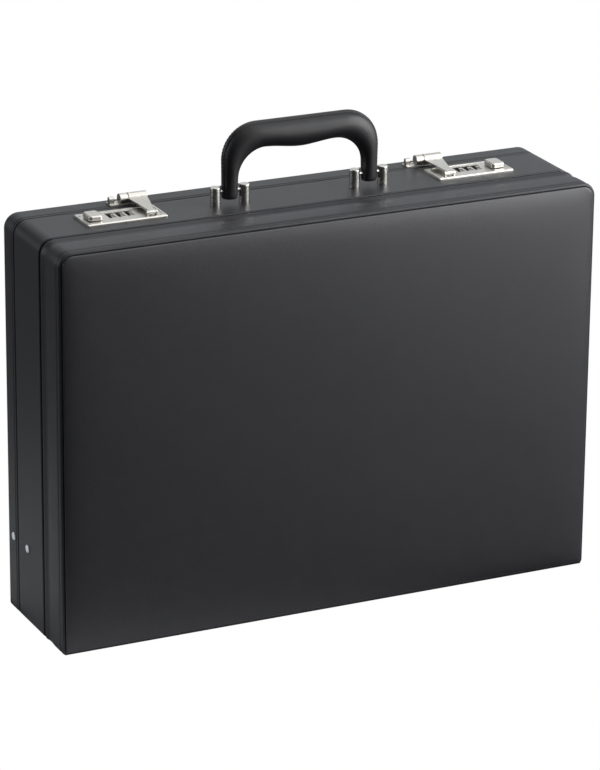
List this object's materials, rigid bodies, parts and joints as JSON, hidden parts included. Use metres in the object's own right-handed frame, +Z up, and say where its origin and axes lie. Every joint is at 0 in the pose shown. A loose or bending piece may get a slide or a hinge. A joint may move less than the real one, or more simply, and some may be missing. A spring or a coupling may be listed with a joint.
{
  "type": "attache case",
  "caption": "Hard-sided leather attache case with a padded carrying handle, combination locks, a piano-hinged lid and a slide-out expanding front.",
  "frame": {"origin": "on the floor, under the middle of the case as it stands on its hinge edge", "axes": "+X along the case's width, to the right seen from the padded front panel; +Y from the front panel to the back of the lid; +Z up through the handle"},
  "size_m": [0.452, 0.114, 0.3831],
  "materials": {
    "black_leather": "fine grained, semi-matt",
    "black_hardware_leather": "smooth, wrapped and stitched",
    "lining_cloth": "short suede-like nap",
    "pocket_leather": "matt",
    "shell_wood": "plywood with its faces and edges stained black, under the leather",
    "tongue_metal": "satin anodised",
    "nickel": "satin nickel plate",
    "bright_nickel": "polished",
    "dial_metal": "nickel with black numbers",
    "zinc_steel": "plain zinc plate",
    "sleeve_board": "semi-matt"
  },
  "bodies": {
    "body": {"body_frame": "shell_wood", "body_leather": "black_leather", "body_tongue": "tongue_metal", "hinge_leaf_body": "nickel", "hinge_screws_body": "nickel", "hinge_pin": "nickel", "stay_rivets_body": "bright_nickel", "handle_posts": "bright_nickel", "handle_nuts": "zinc_steel", "handle_pins": "bright_nickel", "lock_rivets": "nickel", "left_lock_plate": "nickel", "left_lock_housing": "zinc_steel", "left_dial_shaft": "zinc_steel", "left_hasp_pin": "bright_nickel", "right_lock_plate": "nickel", "right_lock_housing": "zinc_steel", "right_dial_shaft": "zinc_steel", "right_hasp_pin": "bright_nickel"},
    "lid": {"lid_frame": "shell_wood", "lid_board": "shell_wood", "lid_leather": "black_leather", "lid_lining": "lining_cloth", "file_pocket": "pocket_leather", "card_pockets": "pocket_leather", "pen_loops": "pocket_leather", "hinge_leaf_lid": "nickel", "hinge_screws_lid": "nickel", "stay_rivets_lid": "bright_nickel", "stay_bushes": "nickel", "left_catch": "bright_nickel", "right_catch": "bright_nickel", "catch_rivets": "nickel"},
    "tray": {"tray_frame": "shell_wood", "tray_leather": "black_leather", "tray_board": "shell_wood", "front_panel": "black_leather", "tray_sleeve": "sleeve_board", "tray_lining": "lining_cloth"},
    "handle": {"handle_grip": "black_hardware_leather", "handle_core": "zinc_steel"},
    "left_stay_lower": {"left_stay_lower": "nickel"},
    "left_stay_upper": {"left_stay_upper": "nickel"},
    "left_hasp": {"left_hasp": "bright_nickel"},
    "left_slide_button": {"left_slide_button": "nickel"},
    "left_expansion_knob": {"left_expansion_knob": "nickel"},
    "left_dial_1": {"left_dial_1": "dial_metal"},
    "left_dial_2": {"left_dial_2": "dial_metal"},
    "left_dial_3": {"left_dial_3": "dial_metal"},
    "right_stay_lower": {"right_stay_lower": "nickel"},
    "right_stay_upper": {"right_stay_upper": "nickel"},
    "right_hasp": {"right_hasp": "bright_nickel"},
    "right_slide_button": {"right_slide_button": "nickel"},
    "right_expansion_knob": {"right_expansion_knob": "nickel"},
    "right_dial_1": {"right_dial_1": "dial_metal"},
    "right_dial_2": {"right_dial_2": "dial_metal"},
    "right_dial_3": {"right_dial_3": "dial_metal"}
  },
  "joints": [
    {"name": "lid_hinge", "type": "hinge", "parent": "body", "child": "lid", "pos_m": [0, 0.035, 0.002], "axis": [-1, 0, 0], "range_deg": [0, 95]},
    {"name": "tray_slide", "type": "slide", "parent": "body", "child": "tray", "axis": [0, -1, 0], "range_m": [0, 0.02]},
    {"name": "handle_swing", "type": "hinge", "parent": "body", "child": "handle", "pos_m": [0, 0.008, 0.331], "axis": [1, 0, 0], "range_deg": [-80, 80]},
    {"name": "left_stay_lower_pivot", "type": "hinge", "parent": "body", "child": "left_stay_lower", "pos_m": [-0.215, 0.015, 0.062], "axis": [-1, 0, 0], "range_deg": [0, 95]},
    {"name": "left_stay_knee", "type": "hinge", "parent": "left_stay_lower", "child": "left_stay_upper", "pos_m": [-0.214, 0.0235, 0.122], "axis": [-1, 0, 0], "range_deg": [-95, 0]},
    {"name": "left_hasp_pivot", "type": "hinge", "parent": "body", "child": "left_hasp", "pos_m": [-0.126, 0.002, 0.3237], "axis": [1, 0, 0], "range_deg": [0, 95]},
    {"name": "left_button_slide", "type": "slide", "parent": "body", "child": "left_slide_button", "axis": [-1, 0, 0], "range_m": [0, 0.004]},
    {"name": "left_knob_push", "type": "slide", "parent": "tray", "child": "left_expansion_knob", "axis": [1, 0, 0], "range_m": [0, 0.003]},
    {"name": "left_dial_1_turn", "type": "hinge", "parent": "body", "child": "left_dial_1", "pos_m": [-0.1542, 0.0135, 0.3161], "axis": [1, 0, 0], "continuous": true},
    {"name": "left_dial_2_turn", "type": "hinge", "parent": "body", "child": "left_dial_2", "pos_m": [-0.1467, 0.0135, 0.3161], "axis": [1, 0, 0], "continuous": true},
    {"name": "left_dial_3_turn", "type": "hinge", "parent": "body", "child": "left_dial_3", "pos_m": [-0.1392, 0.0135, 0.3161], "axis": [1, 0, 0], "continuous": true},
    {"name": "right_stay_lower_pivot", "type": "hinge", "parent": "body", "child": "right_stay_lower", "pos_m": [0.215, 0.015, 0.062], "axis": [-1, 0, 0], "range_deg": [0, 95]},
    {"name": "right_stay_knee", "type": "hinge", "parent": "right_stay_lower", "child": "right_stay_upper", "pos_m": [0.214, 0.0235, 0.122], "axis": [-1, 0, 0], "range_deg": [-95, 0]},
    {"name": "right_hasp_pivot", "type": "hinge", "parent": "body", "child": "right_hasp", "pos_m": [0.126, 0.002, 0.3237], "axis": [1, 0, 0], "range_deg": [0, 95]},
    {"name": "right_button_slide", "type": "slide", "parent": "body", "child": "right_slide_button", "axis": [1, 0, 0], "range_m": [0, 0.004]},
    {"name": "right_knob_push", "type": "slide", "parent": "tray", "child": "right_expansion_knob", "axis": [-1, 0, 0], "range_m": [0, 0.003]},
    {"name": "right_dial_1_turn", "type": "hinge", "parent": "body", "child": "right_dial_1", "pos_m": [0.1408, 0.0135, 0.3161], "axis": [1, 0, 0], "continuous": true},
    {"name": "right_dial_2_turn", "type": "hinge", "parent": "body", "child": "right_dial_2", "pos_m": [0.1483, 0.0135, 0.3161], "axis": [1, 0, 0], "continuous": true},
    {"name": "right_dial_3_turn", "type": "hinge", "parent": "body", "child": "right_dial_3", "pos_m": [0.1558, 0.0135, 0.3161], "axis": [1, 0, 0], "continuous": true}
  ],
  "couplings": [
    {"joint": "left_stay_lower_pivot", "follows": "lid_hinge", "ratio": 1},
    {"joint": "left_stay_knee", "follows": "lid_hinge", "ratio": -1},
    {"joint": "right_stay_lower_pivot", "follows": "lid_hinge", "ratio": 1},
    {"joint": "right_stay_knee", "follows": "lid_hinge", "ratio": -1}
  ]
}
